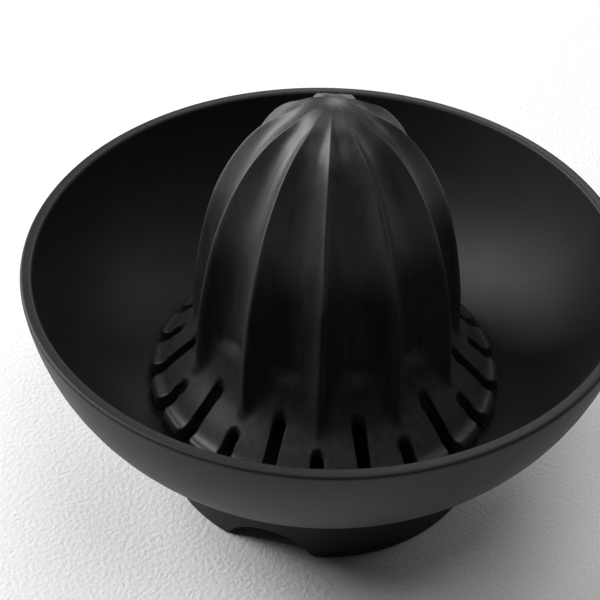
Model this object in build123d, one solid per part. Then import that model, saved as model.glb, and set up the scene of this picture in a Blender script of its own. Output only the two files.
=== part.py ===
from build123d import *
import os
from math import cos, hypot, radians, sin, sqrt

# All lengths are in millimetres. The foot stands on z = 0 and the bowl's axis is z.
# The front, towards -Y, has one arch of the foot and one long slot of the skirt.

# bowl
rim_radius = 72.5
bowl_height = 62.5
bowl_curve_radius = 52.4
rim_lean = 5.0
bowl_wall = 3.0
rim_rounding = 0.9

# foot ring under the bowl
foot_radius = 41.0
foot_wall = 3.0
foot_blend = 2.5
foot_rounding = 0.7
arch_count = 3
arch_width = 22.0
arch_rise = 6.9

# fluted reamer
ridge_count = 11
ridge_radius = 33.5
flute_height = 73.15
crown_rise = 0.35
reamer_wall = 2.4

# strainer skirt of the reamer, resting on the bowl's wall
skirt_radius = 43.7
skirt_rise = 4.1
lip_thickness = 3.5
lip_rounding = 1.3
lip_upturn_share = 0.3
seat_width = 2.0
seat_clearance = 0.3
finger_rounding = 2.0
finger_trim = 0.1
slot_width = 3.3
long_slot_radius = 31.1
short_slot_radius = 36.0

# height above the base as a share of the flutes' height, then the radius
# of the ridges and that of the valleys as shares of the ridge radius
flute_shares = (
    (0.000, 1.122, 1.122),
    (0.025, 1.075, 1.055),
    (0.060, 1.036, 0.985),
    (0.100, 1.013, 0.928),
    (0.150, 1.003, 0.887),
    (0.220, 0.991, 0.860),
    (0.340, 0.958, 0.826),
    (0.480, 0.902, 0.774),
    (0.620, 0.818, 0.698),
    (0.740, 0.705, 0.600),
    (0.840, 0.568, 0.486),
    (0.907, 0.430, 0.370),
    (0.953, 0.277, 0.245),
    (0.979, 0.190, 0.175),
    (0.991, 0.139, 0.134),
    (1.000, 0.084, 0.084),
)
# part of the way from a ridge to the next valley that its rounded crest takes, across and down
crest_share = 0.092

# how far every cutting shape runs past the surface it cuts
overrun = 5.0

curve_x = rim_radius - bowl_curve_radius * cos(radians(rim_lean))
curve_z = bowl_height + bowl_curve_radius * sin(radians(rim_lean))
inner_curve_radius = bowl_curve_radius - bowl_wall
seat_curve_radius = inner_curve_radius - seat_clearance


def curve_point(radius, x):
    """Point at a distance from the axis, on an arc about the bowl wall's centre."""
    return (x, curve_z - sqrt(radius**2 - (x - curve_x) ** 2))


def curve_arc(radius, start_x, end_x):
    """Arc of the bowl's profile between two distances from the axis."""
    middle = curve_point(radius, (start_x + end_x) / 2)
    return ThreePointArc(curve_point(radius, start_x), middle, curve_point(radius, end_x))


def half_profile(edges):
    """Face in the XZ plane from edges given in x and z."""
    return Plane.XZ * make_face(edges)


def corner(face, x, z):
    """Corner of an upright face nearest to a point."""
    return face.vertices().sort_by_distance((x, 0, z))[0]


def make_bowl():
    inner_rim_x = curve_x + sqrt(inner_curve_radius**2 - (curve_z - bowl_height) ** 2)
    outer_rim = curve_point(bowl_curve_radius, rim_radius)
    foot_top = curve_point(bowl_curve_radius, foot_radius)
    foot_inside = foot_radius - foot_wall
    hollow_top = curve_point(bowl_curve_radius, foot_inside)
    well_floor = curve_z - inner_curve_radius
    underside = curve_z - bowl_curve_radius
    face = half_profile(
        [
            Line((0, underside), (0, well_floor)),
            Line((0, well_floor), (curve_x, well_floor)),
            curve_arc(inner_curve_radius, curve_x, inner_rim_x),
            Line((inner_rim_x, bowl_height), outer_rim),
            curve_arc(bowl_curve_radius, rim_radius, foot_radius),
            Line(foot_top, (foot_radius, 0)),
            Line((foot_radius, 0), (foot_inside, 0)),
            Line((foot_inside, 0), hollow_top),
            curve_arc(bowl_curve_radius, foot_inside, curve_x),
            Line((curve_x, underside), (0, underside)),
        ]
    )
    face = fillet([corner(face, inner_rim_x, bowl_height), corner(face, *outer_rim)], rim_rounding)
    face = fillet([corner(face, *foot_top), corner(face, *hollow_top)], foot_blend)
    bowl = revolve(face, Axis.Z)
    arch_radius = (arch_width**2 / 4 + arch_rise**2) / (2 * arch_rise)
    cutter = Cylinder(arch_radius, foot_wall + 2 * overrun, rotation=(90, 0, 0))
    cutter = Pos(0, foot_wall / 2 - foot_radius, arch_rise - arch_radius) * cutter
    arches = [Rot(0, 0, 360 * i / arch_count) * cutter for i in range(arch_count)]
    bowl -= arches
    foot_edges = bowl.edges().filter_by(lambda edge: edge.center().Z < arch_rise + foot_rounding)
    return fillet(foot_edges, foot_rounding)


def flute_section(height, crest, valley):
    """Face at a height, of rounded ridges with a hollow flute between each two."""
    pitch = 360 / ridge_count
    side = crest_share * pitch / 2
    joint = Vector(crest - crest_share * (crest - valley), 0)
    start = joint.rotate(Axis.Z, -side)
    end = joint.rotate(Axis.Z, side)
    lowest = Vector(valley, 0).rotate(Axis.Z, pitch / 2)
    ridge = ThreePointArc(start, (crest, 0), end)
    flute = ThreePointArc(end, lowest, start.rotate(Axis.Z, pitch))
    turns = [pitch * (i + 0.5) - 90 for i in range(ridge_count)]
    edges = [Rot(0, 0, turn) * edge for turn in turns for edge in (ridge, flute)]
    return Pos(0, 0, height) * make_face(edges)


def fluted_dome(base_radius, base, top):
    sections = [
        flute_section(base + share * (top - base), crest * base_radius, valley * base_radius)
        for share, crest, valley in flute_shares
    ]
    return loft(sections)


def skirt_ring(top_x, under_x, top_z):
    """Ring that flares from the flutes' base to a lip, whose underside follows the bowl's wall."""
    edge_x = skirt_radius + finger_trim
    seat_x = skirt_radius - seat_width
    seat_start = curve_point(seat_curve_radius, seat_x)
    seat_end = curve_point(seat_curve_radius, edge_x)
    lip = (edge_x, top_z - skirt_rise)
    face = half_profile(
        [
            Line((under_x, top_z), (top_x, top_z)),
            Spline((top_x, top_z), lip, tangents=[(1, -1), (1, lip_upturn_share)]),
            Line(lip, seat_end),
            curve_arc(seat_curve_radius, edge_x, seat_x),
            Spline(seat_start, (under_x, top_z), tangents=[(-1, 0), (-1, 1)]),
        ]
    )
    return revolve(fillet([corner(face, *lip)], lip_rounding), Axis.Z)


def slot(inner_radius):
    """Plan of a slot with a round inner end, open to the outside."""
    round_x = inner_radius + slot_width / 2
    length = skirt_radius + overrun - round_x
    channel = Pos(round_x + length / 2, 0) * Rectangle(length, slot_width)
    return channel + Pos(round_x, 0) * Circle(slot_width / 2)


def finger_plan():
    """Disc with its edge cut into fingers by long and short slots in turn."""
    plan = Circle(skirt_radius)
    for i in range(ridge_count):
        turn = 360 * i / ridge_count - 90
        plan -= Rot(0, 0, turn) * slot(long_slot_radius)
        plan -= Rot(0, 0, turn + 180 / ridge_count) * slot(short_slot_radius)
    tips = plan.vertices().filter_by(lambda vertex: hypot(vertex.X, vertex.Y) > skirt_radius - slot_width / 2)
    return fillet(tips, finger_rounding)


def crown(radius, base):
    """Low round cap over the ends of the ridges."""
    sphere_radius = (radius**2 + crown_rise**2) / (2 * crown_rise)
    sphere = Pos(0, 0, base + crown_rise - sphere_radius) * Sphere(sphere_radius)
    return split(sphere, Plane.XY.offset(base), keep=Keep.TOP)


def make_reamer():
    base = curve_point(seat_curve_radius, skirt_radius)[1] + lip_thickness + skirt_rise
    crown_base = base + flute_height
    inner_radius = ridge_radius - reamer_wall
    reamer = fluted_dome(ridge_radius, base, crown_base)
    reamer -= fluted_dome(inner_radius, base, crown_base - reamer_wall)
    base_share = flute_shares[0][1]
    top_share = flute_shares[-1][1]
    ring = skirt_ring(base_share * ridge_radius, base_share * inner_radius, base)
    reamer += [ring, crown(top_share * ridge_radius, crown_base)]
    return reamer & extrude(finger_plan(), crown_base + overrun)


bowl = make_bowl()
reamer = make_reamer()
os.makedirs("parts", exist_ok=True)
export_step(bowl, "parts/juice_bowl.step")
export_step(reamer, "parts/reamer_strainer.step")
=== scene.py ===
import math

import bmesh
import bpy
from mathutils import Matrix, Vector


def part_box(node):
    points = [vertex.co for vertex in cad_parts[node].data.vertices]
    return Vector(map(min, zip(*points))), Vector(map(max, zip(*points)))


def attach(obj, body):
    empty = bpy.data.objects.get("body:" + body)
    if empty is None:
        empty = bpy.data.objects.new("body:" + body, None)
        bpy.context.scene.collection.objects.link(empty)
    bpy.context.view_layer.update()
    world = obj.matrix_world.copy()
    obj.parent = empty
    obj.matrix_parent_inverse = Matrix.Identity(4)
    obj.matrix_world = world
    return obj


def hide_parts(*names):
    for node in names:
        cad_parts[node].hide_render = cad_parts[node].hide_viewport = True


# A two-piece citrus juicer: a bowl on an arched foot ring, and a loose fluted reamer with a
# slotted skirt. Lengths are in metres, the foot stands on z = 0, and the front is towards -Y.

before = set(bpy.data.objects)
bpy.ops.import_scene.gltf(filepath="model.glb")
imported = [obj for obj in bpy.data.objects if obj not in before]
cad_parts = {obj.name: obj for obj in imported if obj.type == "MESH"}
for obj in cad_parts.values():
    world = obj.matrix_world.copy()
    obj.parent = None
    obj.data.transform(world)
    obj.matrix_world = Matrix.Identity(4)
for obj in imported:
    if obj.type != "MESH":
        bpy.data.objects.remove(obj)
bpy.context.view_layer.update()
bowl_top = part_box("juice_bowl")[1].z
reamer_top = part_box("reamer_strainer")[1].z

# bowl
RIM_RADIUS = 0.0725
RIM_LEAN = math.radians(5)
BOWL_CURVE = 0.0524
BOWL_WALL = 0.003
RIM_ROUNDING = 0.0009

# faces round the bowl, along each arc of its outline and along a rounded corner
BOWL_STEPS = 240
INSIDE_STEPS = 22
OUTSIDE_STEPS = 16
UNDER_STEPS = 5
CORNER_STEPS = 6
# places of the points on a straight stretch of the outline
THIRDS = (0, 1 / 3, 2 / 3)

# foot ring under the bowl
FOOT_RADIUS = 0.041
FOOT_WALL = 0.003
FOOT_BLEND = 0.0025
FOOT_ROUNDING = 0.0007
ARCH_COUNT = 3
ARCH_WIDTH = 0.022
ARCH_RISE = 0.0069
ARCH_CORNER = 0.0005
# the arches lift the points below this share of the foot's height, to this depth from its outside
ARCH_REACH_SHARE = 5 / 6
ARCH_DEPTH = 0.0033
# an edge that turns more than this is rounded
SHARP_ANGLE = math.radians(60)

# radius and height along a ridge of the reamer, from the crown down
RIDGE_LINE = (
    (0.0000, 0.1050),
    (0.0028, 0.1047),
    (0.0064, 0.1031),
    (0.0093, 0.1012),
    (0.0144, 0.0979),
    (0.0190, 0.0930),
    (0.0236, 0.0856),
    (0.0274, 0.0769),
    (0.0302, 0.0666),
    (0.0321, 0.0564),
    (0.0332, 0.0476),
    (0.0336, 0.0400),
    (0.0338, 0.0310),
)
RIDGE_COUNT = 11
# the flutes' depth as a share of the ridge's radius at the crown and below it
CROWN_DEPTH_SHARE = 0.07
FLUTE_DEPTH_SHARE = 0.18
# where the flutes start to deepen, and the width of the stretch in which they do
CROWN_RADIUS = 0.0065
FLUTE_FADE = 0.006
# how steeply a flute's side rises to the crest, and how widely the crest is rounded
FLUTE_POWER = 2.6
CREST_REACH = 0.006
CREST_POWER = 3
DOME_WALL = 0.0024
# height of a row of faces on the dome, and faces from a valley to a ridge
DOME_ROW = 0.0018
COLUMNS = 20

# radius and height along the skirt's top from the valleys out to the lip, and along its underside
SKIRT_LINE = (
    (0.0289, 0.0465),
    (0.0295, 0.0436),
    (0.0303, 0.0410),
    (0.0313, 0.0387),
    (0.0328, 0.0363),
    (0.0353, 0.0335),
    (0.0376, 0.0312),
    (0.0395, 0.0292),
    (0.0407, 0.0281),
    (0.0417, 0.0276),
    (0.0425, 0.0275),
    (0.0431, 0.0272),
    (0.0435, 0.0267),
    (0.0437, 0.0260),
)
UNDERSIDE_LINE = (
    (0.0289, 0.0400),
    (0.0311, 0.0352),
    (0.0341, 0.0321),
    (0.0366, 0.0296),
    (0.0392, 0.0258),
    (0.0406, 0.0238),
    (0.0417, 0.0229),
)
SEAT_CLEARANCE = 0.0003
SKIRT_BLEND = 0.0018
SLOT_WIDTH = 0.0033
LONG_SLOT_RADIUS = 0.0311
SHORT_SLOT_RADIUS = 0.036
# how far before a slot's round end the rows start to bend round it
SLOT_PULL_REACH = 0.0038
SLOT_COLUMNS = 4
# rows of faces up to the long slots' ends, up to the short slots' ends, and up to the tips
SKIRT_ROWS = (5, 6, 5)
TIP_SHARES = (0, 0.25, 0.5, 0.76, 1)
FINGER_ROUNDING = 0.002
# part of a tip's rounding that the fingers' sides follow before it turns too steep
TIP_ROUNDING_SHARE = 0.9
EDGE_ROUNDING = 0.00045

# faces across a rounded edge, and the distance within which points are one
ROUNDING_STEPS = 3
MERGE = 1e-6

# surfaces
# the middle of its range, to which noise mostly keeps, and how finely each pattern is divided
NOISE_LOW = 0.3
NOISE_HIGH = 0.7
GRAIN_DETAIL = 2
PATCH_DETAIL = 3
PLASTER_DETAIL = 5
GRAIN_SIZE = 0.0003
GRAIN_DEPTH = 0.00004
FINE_GRAIN_DEPTH = 0.00002
CLOUD_SIZE = 0.012
FLOW_WIDTH = 0.0016
FLOW_STRETCH = 0.06
BOWL_COLOURS = ((0.01, 0.01, 0.0103, 1), (0.012, 0.012, 0.0123, 1))
BOWL_GLOSS = 0.3
BOWL_ROUGHNESS = (0.48, 0.52)
REAMER_COLOURS = ((0.014, 0.014, 0.0145, 1), (0.027, 0.027, 0.0278, 1))
REAMER_GLOSS = 0.6
REAMER_ROUGHNESS = (0.4, 0.48)
PLASTER_GRAIN = 0.0012
PLASTER_PATCH = 0.05
PLASTER_DEPTH = 0.0003
PLASTER_DARK = (0.9, 0.9, 0.9, 1)
PLASTER_LIGHT = (0.95, 0.95, 0.95, 1)
PLASTER_ROUGHNESS = 0.85
PLASTER_GLOSS = 0.2
FLOOR_HALF = 0.8

# camera, fitted to the rim, the foot and the slots
SENSOR_WIDTH = 36
LENS = 91.61
CAMERA_PLACE = (0.0856, -0.2692, 0.2896)
CAMERA_TURN = (0.8621, -0.0136, 0.3421)

# name, turn from the front and rise above the floor in degrees, and power in watts
LIGHTS = (
    ("key_left", 280, 45, 8.4),
    ("left_low", 264, 16, 7.2),
    ("back", 190, 35, 3.8),
    ("right_fill", 135, 32, 1.6),
    ("overhead", 60, 78, 3.0),
)
LIGHT_SIZE = 0.5
LIGHT_DISTANCE = 1.1
LIGHT_TARGET = Vector((0, 0, 0.05))
WORLD_STRENGTH = 0.02
BACKDROP_STRENGTH = 0.95

HALF_FLUTE = math.pi / RIDGE_COUNT
LIP_RADIUS = SKIRT_LINE[-1][0]
CURVE_X = RIM_RADIUS - BOWL_CURVE * math.cos(RIM_LEAN)
CURVE_Z = bowl_top + BOWL_CURVE * math.sin(RIM_LEAN)


def lerp(start, end, share):
    return start + (end - start) * share


def eased(share):
    """Share from 0 to 1 that leaves and arrives gently."""
    return share * share * (3 - 2 * share)


def on_line(line, x):
    """Second value at x on a line of points whose first values rise."""
    for (x0, y0), (x1, y1) in zip(line, line[1:]):
        if x <= x1:
            break
    return lerp(y0, y1, (x - x0) / (x1 - x0))


def smooth_larger(a, b, reach):
    """The larger of two lengths, rounded over where they are closer than the reach."""
    overlap = max(reach - abs(a - b), 0)
    return max(a, b) + (overlap**2 / (4 * reach) if overlap else 0)


def smooth_curve(points, step):
    """Points about a step apart on a smooth curve through the given ones."""
    points = [Vector(p) for p in points]
    padded = [2 * points[0] - points[1], *points, 2 * points[-1] - points[-2]]
    found = []
    for before, start, end, after in zip(padded, padded[1:], padded[2:], padded[3:]):
        span = (end - start).length
        leave = ((start - before).normalized() + (end - start).normalized()) * span / 2
        arrive = ((end - start).normalized() + (after - end).normalized()) * span / 2
        count = max(1, round(span / step))
        for i in range(count):
            t = i / count
            bend = leave * t * (1 - t) ** 2 - arrive * t * t * (1 - t)
            found.append(start.lerp(end, eased(t)) + bend)
    return [*found, points[-1]]


def finished_piece(name, bm, material, body, node):
    """Object from a mesh, which moves with a body of the frame and stands for a node."""
    bmesh.ops.recalc_face_normals(bm, faces=bm.faces)
    for face in bm.faces:
        face.smooth = True
    mesh = bpy.data.meshes.new(name)
    bm.to_mesh(mesh)
    bm.free()
    mesh.materials.append(material)
    piece = bpy.data.objects.new(name, mesh)
    bpy.context.scene.collection.objects.link(piece)
    piece.modifiers.new("even_shading", "WEIGHTED_NORMAL")
    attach(piece, body)
    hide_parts(node)


def rounded(bm, edges, size):
    """Rounds edges of a mesh."""
    bmesh.ops.bevel(
        bm, geom=edges, affect="EDGES", offset=size, segments=ROUNDING_STEPS, profile=0.5, material=-1
    )


def wall_height(radius, distance):
    """Height, at a distance from the axis, of an arc about the bowl wall's centre."""
    return CURVE_Z - math.sqrt(radius**2 - (distance - CURVE_X) ** 2)


def wall_arc(radius, start, end, count):
    """Points of the bowl's wall between two angles from straight down about its centre."""
    angles = [lerp(start, end, i / count) for i in range(count + 1)]
    return [(CURVE_X + radius * math.sin(a), CURVE_Z - radius * math.cos(a)) for a in angles]


def bowl_outline():
    """Radius and height round the bowl's wall and foot, and the corners with their roundings."""
    inner = BOWL_CURVE - BOWL_WALL
    foot_inside = FOOT_RADIUS - FOOT_WALL
    rim_angle = math.acos((CURVE_Z - bowl_top) / inner)
    foot_angle = math.asin((FOOT_RADIUS - CURVE_X) / BOWL_CURVE)
    hollow_angle = math.asin((foot_inside - CURVE_X) / BOWL_CURVE)
    inside = wall_arc(inner, 0, rim_angle, INSIDE_STEPS)
    outside = wall_arc(BOWL_CURVE, math.pi / 2 - RIM_LEAN, foot_angle, OUTSIDE_STEPS)
    under = wall_arc(BOWL_CURVE, hollow_angle, 0, UNDER_STEPS)
    foot_top = outside[-1][1]
    hollow_top = under[0][1]
    flat = [CURVE_X * share for share in THIRDS]
    points = [(x, CURVE_Z - inner) for x in flat] + inside + outside
    points += [(FOOT_RADIUS, foot_top * share) for share in reversed(THIRDS)]
    points += [(foot_inside, hollow_top * share) for share in THIRDS]
    points += under + [(x, CURVE_Z - BOWL_CURVE) for x in reversed(flat)]
    corners = ((inside[-1], RIM_ROUNDING), (outside[0], RIM_ROUNDING))
    corners += ((outside[-1], FOOT_BLEND), (under[0], FOOT_BLEND))
    return points, corners


def round_corner(bm, place, radius):
    """Rounds the corner of an upright chain of edges that is nearest to a place."""
    corner = min(bm.verts, key=lambda v: (v.co - Vector((place[0], 0, place[1]))).length)
    sides = [edge.other_vert(corner).co - corner.co for edge in corner.link_edges]
    offset = radius / math.tan(sides[0].angle(sides[1]) / 2)
    steps = CORNER_STEPS
    bmesh.ops.bevel(
        bm, geom=[corner], affect="VERTICES", offset=offset, segments=steps, profile=0.5, material=-1
    )


def arch_height(along):
    """Height of the foot's lower edge at a distance along the ring from an arch's middle."""
    radius = (ARCH_WIDTH**2 / 4 + ARCH_RISE**2) / (2 * ARCH_RISE)
    top = math.sqrt(max(radius**2 - along**2, 0)) - radius + ARCH_RISE
    return smooth_larger(top, 0, ARCH_CORNER)


def lift_arches(bm):
    """Lifts the foot's lower edge into arches."""
    turn = 2 * math.pi / ARCH_COUNT
    top = wall_height(BOWL_CURVE, FOOT_RADIUS)
    low = [vert for vert in bm.verts if vert.co.z < top * ARCH_REACH_SHARE]
    for vert in [vert for vert in low if vert.co.xy.length > FOOT_RADIUS - ARCH_DEPTH]:
        angle = math.atan2(vert.co.x, -vert.co.y) % turn
        along = FOOT_RADIUS * math.sin(min(angle, turn - angle))
        vert.co.z = lerp(arch_height(along), top, vert.co.z / top)


def bowl_mesh():
    points, corners = bowl_outline()
    bm = bmesh.new()
    verts = [bm.verts.new((x, 0, z)) for x, z in points]
    for pair in zip(verts, verts[1:]):
        bm.edges.new(pair)
    for place, radius in corners:
        round_corner(bm, place, radius)
    chain = bm.verts[:] + bm.edges[:]
    bmesh.ops.spin(bm, geom=chain, axis=(0, 0, 1), angle=2 * math.pi, steps=BOWL_STEPS, use_merge=True)
    bmesh.ops.remove_doubles(bm, verts=bm.verts, dist=MERGE)
    lift_arches(bm)
    bmesh.ops.recalc_face_normals(bm, faces=bm.faces)
    rounded(bm, [edge for edge in bm.edges if edge.calc_face_angle(0) > SHARP_ANGLE], FOOT_ROUNDING)
    return bm


def flute_radius(ridge, angle):
    """Radius of the dome at an angle from a valley, where its rounded ridges have a given radius."""
    grown = min(max((ridge - CROWN_RADIUS) / FLUTE_FADE, 0), 1)
    depth = ridge * lerp(CROWN_DEPTH_SHARE, FLUTE_DEPTH_SHARE, eased(grown))
    rounding = CREST_REACH * (ridge / RIDGE_LINE[-1][0]) ** CREST_POWER
    across = angle / HALF_FLUTE
    # the rounding takes a quarter of its reach off the crest, so the sides rise that much higher
    rise = depth + rounding / 4
    here = rise * across**FLUTE_POWER
    beyond = rise * (2 - across) ** FLUTE_POWER
    return ridge - depth - smooth_larger(-here, -beyond, rounding)


def finger_side(radius):
    """Distance of a finger's side from the middle of the slot beside it."""
    centre_y = SLOT_WIDTH / 2 + FINGER_ROUNDING
    centre_x = math.sqrt((LIP_RADIUS - FINGER_ROUNDING) ** 2 - centre_y**2)
    past = min(max(radius - centre_x, 0), FINGER_ROUNDING * TIP_ROUNDING_SHARE)
    return centre_y - math.sqrt(FINGER_ROUNDING**2 - past**2)


def skirt_angle(radius, column):
    """Angle from a valley of a column of faces on the skirt."""
    side = math.asin(finger_side(radius) / radius)
    from_side = (column - SLOT_COLUMNS) / (COLUMNS - 2 * SLOT_COLUMNS)
    if from_side < 0:
        return side * column / SLOT_COLUMNS
    if from_side > 1:
        return HALF_FLUTE - side * (COLUMNS - column) / SLOT_COLUMNS
    return lerp(side, HALF_FLUTE - side, from_side)


def slot_pull(radius, steps, end_radius):
    """How far in a row is drawn round a slot's end, some columns away from the slot's middle."""
    before_end = end_radius + SLOT_WIDTH / 2 - radius
    if steps > SLOT_COLUMNS or before_end < -MERGE:
        return 0
    nearness = max(1 - before_end / SLOT_PULL_REACH, 0)
    return SLOT_WIDTH / 2 * math.sqrt(1 - (steps / SLOT_COLUMNS) ** 2) * nearness


def skirt_radii():
    """Radii of the skirt's rows, with one at each slot's round end and one where the tips round."""
    half_slot = SLOT_WIDTH / 2
    tip_start = math.sqrt((LIP_RADIUS - FINGER_ROUNDING) ** 2 - (half_slot + FINGER_ROUNDING) ** 2)
    stops = [SKIRT_LINE[0][0], LONG_SLOT_RADIUS + half_slot, SHORT_SLOT_RADIUS + half_slot, tip_start]
    radii = []
    for start, end, count in zip(stops, stops[1:], SKIRT_ROWS):
        radii += [lerp(start, end, i / count) for i in range(count)]
    return radii + [lerp(tip_start, LIP_RADIUS, share) for share in TIP_SHARES]


def point_at(radius, angle, height):
    """Point at an angle from the front."""
    return Vector((radius * math.sin(angle), -radius * math.cos(angle), height))


def sheet_rows():
    """Rows of points from the crown to the lip, and the number of the skirt's first row.

    Each row goes from a valley to the next ridge.
    """
    line = smooth_curve(RIDGE_LINE, DOME_ROW)
    ridge_at = [(-height, radius) for radius, height in line]
    skirt_line = smooth_curve(SKIRT_LINE, DOME_ROW / 2)
    angles = [HALF_FLUTE * i / COLUMNS for i in range(COLUMNS + 1)]
    clear = SKIRT_LINE[0][1] + DOME_ROW / 2
    rows = [
        [point_at(flute_radius(ridge, a), a, height) for a in angles]
        for ridge, height in line
        if height > clear
    ]
    for radius in skirt_radii():
        height = on_line(skirt_line, radius)
        row = []
        for column in range(COLUMNS + 1):
            angle = skirt_angle(radius, column)
            pull = slot_pull(radius, column, LONG_SLOT_RADIUS)
            pull += slot_pull(radius, COLUMNS - column, SHORT_SLOT_RADIUS)
            dome = flute_radius(on_line(ridge_at, -height), angle)
            wide = smooth_larger(dome, radius, SKIRT_BLEND)
            row.append(point_at(wide - pull, angle, on_line(skirt_line, radius - pull)))
        rows.append(row)
    return rows, len(rows) - len(skirt_radii())


def underside_height(radius):
    """Height of the skirt's underside, which follows the bowl's wall near the lip."""
    start, _ = UNDERSIDE_LINE[-1]
    if radius < start:
        return on_line(UNDERSIDE_LINE, radius)
    return wall_height(BOWL_CURVE - BOWL_WALL - SEAT_CLEARANCE, radius)


def inner_point(place, skirt_share):
    """Inner point for an outer one: drawn in under the dome, straight below under the skirt."""
    ridge_radius, dome_foot = RIDGE_LINE[-1]
    narrower = 1 - DOME_WALL / ridge_radius
    lower = 1 - DOME_WALL / (reamer_top - dome_foot)
    drawn_in = Vector((place.x * narrower, place.y * narrower, lerp(dome_foot, place.z, lower)))
    below = Vector((place.x, place.y, underside_height(place.xy.length)))
    return drawn_in.lerp(below, skirt_share)


def in_slot(face, row_of, column_of, long_end):
    """Whether a face of the sheet lies where a slot is open."""
    row = min(vert[row_of] for vert in face.verts)
    columns = [vert[column_of] for vert in face.verts]
    in_long = row >= long_end and max(columns) <= SLOT_COLUMNS
    in_short = row >= long_end + SKIRT_ROWS[1] and min(columns) >= COLUMNS - SLOT_COLUMNS
    return in_long or in_short


def half_flute_sheet(bm, rows, first_skirt):
    """Sheet from a valley to the next ridge, without the slots."""
    bmesh.ops.create_grid(bm, x_segments=len(rows) - 1, y_segments=COLUMNS, size=1)
    row_of = bm.verts.layers.int.new("row")
    column_of = bm.verts.layers.int.new("column")
    for vert in bm.verts:
        vert[row_of] = round((vert.co.x + 1) / 2 * (len(rows) - 1))
        vert[column_of] = round((vert.co.y + 1) / 2 * COLUMNS)
        vert.co = rows[vert[row_of]][vert[column_of]]
    long_end = first_skirt + SKIRT_ROWS[0]
    opened = [face for face in bm.faces if in_slot(face, row_of, column_of, long_end)]
    bmesh.ops.delete(bm, geom=opened, context="FACES")


def mirror_and_repeat(bm):
    """Mirrors the sheet to a whole flute and turns copies of it round the axis."""
    copied = bmesh.ops.duplicate(bm, geom=bm.verts[:] + bm.edges[:] + bm.faces[:])["geom"]
    mirrored = [item for item in copied if isinstance(item, bmesh.types.BMVert)]
    bmesh.ops.scale(bm, vec=(-1, 1, 1), verts=mirrored)
    flute = bm.verts[:] + bm.edges[:] + bm.faces[:]
    steps = RIDGE_COUNT - 1
    angle = 2 * HALF_FLUTE * steps
    bmesh.ops.spin(bm, geom=flute, axis=(0, 0, 1), angle=angle, steps=steps, use_duplicate=True)
    bmesh.ops.remove_doubles(bm, verts=bm.verts, dist=MERGE)
    bmesh.ops.recalc_face_normals(bm, faces=bm.faces)


def reamer_mesh():
    rows, first_skirt = sheet_rows()
    bm = bmesh.new()
    half_flute_sheet(bm, rows, first_skirt)
    mirror_and_repeat(bm)
    shell = bmesh.ops.extrude_face_region(bm, geom=bm.faces[:], use_keep_orig=True)["geom"]
    inner = {item for item in shell if isinstance(item, bmesh.types.BMVert)}
    row_of = bm.verts.layers.int["row"]
    for vert in inner:
        skirt_share = (vert[row_of] - first_skirt) / SKIRT_ROWS[0]
        vert.co = inner_point(vert.co, min(max(skirt_share, 0), 1))
    walls = [face for face in bm.faces if len(inner.intersection(face.verts)) == 2]
    rims = {edge for face in walls for edge in face.edges if len(inner.intersection(edge.verts)) != 1}
    rounded(bm, list(rims), EDGE_ROUNDING)
    # the rounding pushes the tips' lower corners out a little, so they are drawn back to the lip
    for vert in bm.verts:
        share = LIP_RADIUS / max(vert.co.xy.length, LIP_RADIUS)
        vert.co.x *= share
        vert.co.y *= share
    return bm


def group_socket(group, name, direction, kind, value=None):
    socket = group.interface.new_socket(name, in_out=direction, socket_type=kind)
    if value is not None:
        socket.default_value = value


def noise_node(tree, coordinates, scale, detail):
    noise = tree.nodes.new("ShaderNodeTexNoise")
    noise.inputs["Scale"].default_value = scale
    noise.inputs["Detail"].default_value = detail
    tree.links.new(coordinates, noise.inputs["Vector"])
    return noise.outputs["Fac"]


def moulded_surface_group():
    """Node group with the fine grain of a moulded surface, its cloudy patches and its flow lines."""
    group = bpy.data.node_groups.new("moulded_surface", "ShaderNodeTree")
    group_socket(group, "Coordinates", "INPUT", "NodeSocketVector")
    group_socket(group, "Grain depth", "INPUT", "NodeSocketFloat", GRAIN_DEPTH)
    group_socket(group, "Cloud", "OUTPUT", "NodeSocketFloat")
    group_socket(group, "Flow lines", "OUTPUT", "NodeSocketFloat")
    group_socket(group, "Normal", "OUTPUT", "NodeSocketVector")
    given = group.nodes.new("NodeGroupInput")
    result = group.nodes.new("NodeGroupOutput")
    place = given.outputs["Coordinates"]
    stretch = group.nodes.new("ShaderNodeVectorMath")
    stretch.operation = "MULTIPLY"
    stretch.inputs[1].default_value = (1, 1, FLOW_STRETCH)
    group.links.new(place, stretch.inputs[0])
    bump = group.nodes.new("ShaderNodeBump")
    group.links.new(noise_node(group, place, 1 / GRAIN_SIZE, GRAIN_DETAIL), bump.inputs["Height"])
    group.links.new(given.outputs["Grain depth"], bump.inputs["Distance"])
    cloud = noise_node(group, place, 1 / CLOUD_SIZE, PATCH_DETAIL)
    group.links.new(cloud, result.inputs["Cloud"])
    flow_lines = noise_node(group, stretch.outputs[0], 1 / FLOW_WIDTH, GRAIN_DETAIL)
    group.links.new(flow_lines, result.inputs["Flow lines"])
    group.links.new(bump.outputs["Normal"], result.inputs["Normal"])
    return group


def spread(tree, noise, low, high):
    """Noise, which mostly keeps to the middle of its range, spread from low to high."""
    ranges = tree.nodes.new("ShaderNodeMapRange")
    ranges.inputs["From Min"].default_value = NOISE_LOW
    ranges.inputs["From Max"].default_value = NOISE_HIGH
    ranges.inputs["To Min"].default_value = low
    ranges.inputs["To Max"].default_value = high
    tree.links.new(noise, ranges.inputs["Value"])
    return ranges.outputs["Result"]


def mixed_colour(tree, share, first, second):
    mix = tree.nodes.new("ShaderNodeMix")
    mix.data_type = "RGBA"
    mix.inputs["A"].default_value = first
    mix.inputs["B"].default_value = second
    tree.links.new(share, mix.inputs["Factor"])
    return mix.outputs["Result"]


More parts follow.
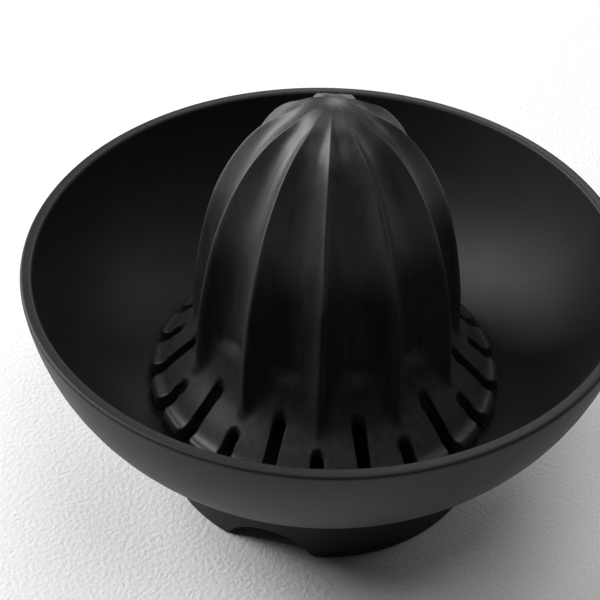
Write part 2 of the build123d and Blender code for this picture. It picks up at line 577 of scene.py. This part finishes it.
def black_plastic(name, surface, looks, grain_depth, colour_from):
    """Matte black moulded plastic, whose colour follows one output of the surface group."""
    colours, gloss, roughness = looks
    material = bpy.data.materials.new(name)
    material.use_nodes = True
    tree = material.node_tree
    shader = tree.nodes["Principled BSDF"]
    shader.inputs["Specular IOR Level"].default_value = gloss
    coordinates = tree.nodes.new("ShaderNodeTexCoord")
    group = tree.nodes.new("ShaderNodeGroup")
    group.node_tree = surface
    group.inputs["Grain depth"].default_value = grain_depth
    tree.links.new(coordinates.outputs["Object"], group.inputs["Coordinates"])
    share = spread(tree, group.outputs[colour_from], 0, 1)
    tree.links.new(mixed_colour(tree, share, *colours), shader.inputs["Base Color"])
    rough = spread(tree, group.outputs["Cloud"], *roughness)
    tree.links.new(rough, shader.inputs["Roughness"])
    tree.links.new(group.outputs["Normal"], shader.inputs["Normal"])
    return material


def plaster():
    """Pale floor with a fine trowelled grain."""
    material = bpy.data.materials.new("pale_plaster")
    material.use_nodes = True
    tree = material.node_tree
    shader = tree.nodes["Principled BSDF"]
    shader.inputs["Roughness"].default_value = PLASTER_ROUGHNESS
    shader.inputs["Specular IOR Level"].default_value = PLASTER_GLOSS
    place = tree.nodes.new("ShaderNodeTexCoord").outputs["Object"]
    grain = noise_node(tree, place, 1 / PLASTER_GRAIN, PLASTER_DETAIL)
    wide = noise_node(tree, place, 1 / PLASTER_PATCH, PATCH_DETAIL)
    tree.links.new(mixed_colour(tree, wide, PLASTER_DARK, PLASTER_LIGHT), shader.inputs["Base Color"])
    bump = tree.nodes.new("ShaderNodeBump")
    bump.inputs["Distance"].default_value = PLASTER_DEPTH
    tree.links.new(grain, bump.inputs["Height"])
    tree.links.new(bump.outputs["Normal"], shader.inputs["Normal"])
    return material


def soft_light(name, turn, rise, power):
    """Square light that faces the juicer, at a turn from the front and a rise above the floor."""
    turn, rise = math.radians(turn), math.radians(rise)
    direction = point_at(math.cos(rise), turn, math.sin(rise))
    data = bpy.data.lights.new(name, "AREA")
    data.size = LIGHT_SIZE
    data.energy = power
    light = bpy.data.objects.new(name, data)
    light.location = direction * LIGHT_DISTANCE + LIGHT_TARGET
    light.rotation_euler = direction.to_track_quat("Z", "Y").to_euler()
    bpy.context.scene.collection.objects.link(light)


def add_camera():
    data = bpy.data.cameras.new("camera")
    data.sensor_width = SENSOR_WIDTH
    data.lens = LENS
    camera = bpy.data.objects.new("camera", data)
    camera.location = CAMERA_PLACE
    camera.rotation_euler = CAMERA_TURN
    bpy.context.scene.collection.objects.link(camera)
    bpy.context.scene.camera = camera


def add_floor():
    bm = bmesh.new()
    bmesh.ops.create_grid(bm, x_segments=1, y_segments=1, size=FLOOR_HALF)
    mesh = bpy.data.meshes.new("floor")
    bm.to_mesh(mesh)
    bm.free()
    mesh.materials.append(plaster())
    floor = bpy.data.objects.new("floor", mesh)
    bpy.context.scene.collection.objects.link(floor)


def add_world():
    """Dim surroundings, which the camera sees as a pale backdrop behind the floor."""
    world = bpy.data.worlds.new("world")
    world.use_nodes = True
    tree = world.node_tree
    background = tree.nodes["Background"]
    background.inputs["Color"].default_value = (1, 1, 1, 1)
    seen = tree.nodes.new("ShaderNodeLightPath").outputs["Is Camera Ray"]
    strength = tree.nodes.new("ShaderNodeMapRange")
    strength.inputs["To Min"].default_value = WORLD_STRENGTH
    strength.inputs["To Max"].default_value = BACKDROP_STRENGTH
    tree.links.new(seen, strength.inputs["Value"])
    tree.links.new(strength.outputs["Result"], background.inputs["Strength"])
    bpy.context.scene.world = world


surface = moulded_surface_group()
bowl_looks = (BOWL_COLOURS, BOWL_GLOSS, BOWL_ROUGHNESS)
reamer_looks = (REAMER_COLOURS, REAMER_GLOSS, REAMER_ROUGHNESS)
bowl_plastic = black_plastic("bowl_plastic", surface, bowl_looks, GRAIN_DEPTH, "Cloud")
reamer_plastic = black_plastic("reamer_plastic", surface, reamer_looks, FINE_GRAIN_DEPTH, "Flow lines")
finished_piece("bowl_body", bowl_mesh(), bowl_plastic, "bowl", "juice_bowl")
finished_piece("fluted_reamer", reamer_mesh(), reamer_plastic, "insert", "reamer_strainer")
add_camera()
add_floor()
add_world()
for light in LIGHTS:
    soft_light(*light)
bpy.context.scene.view_settings.view_transform = "Standard"
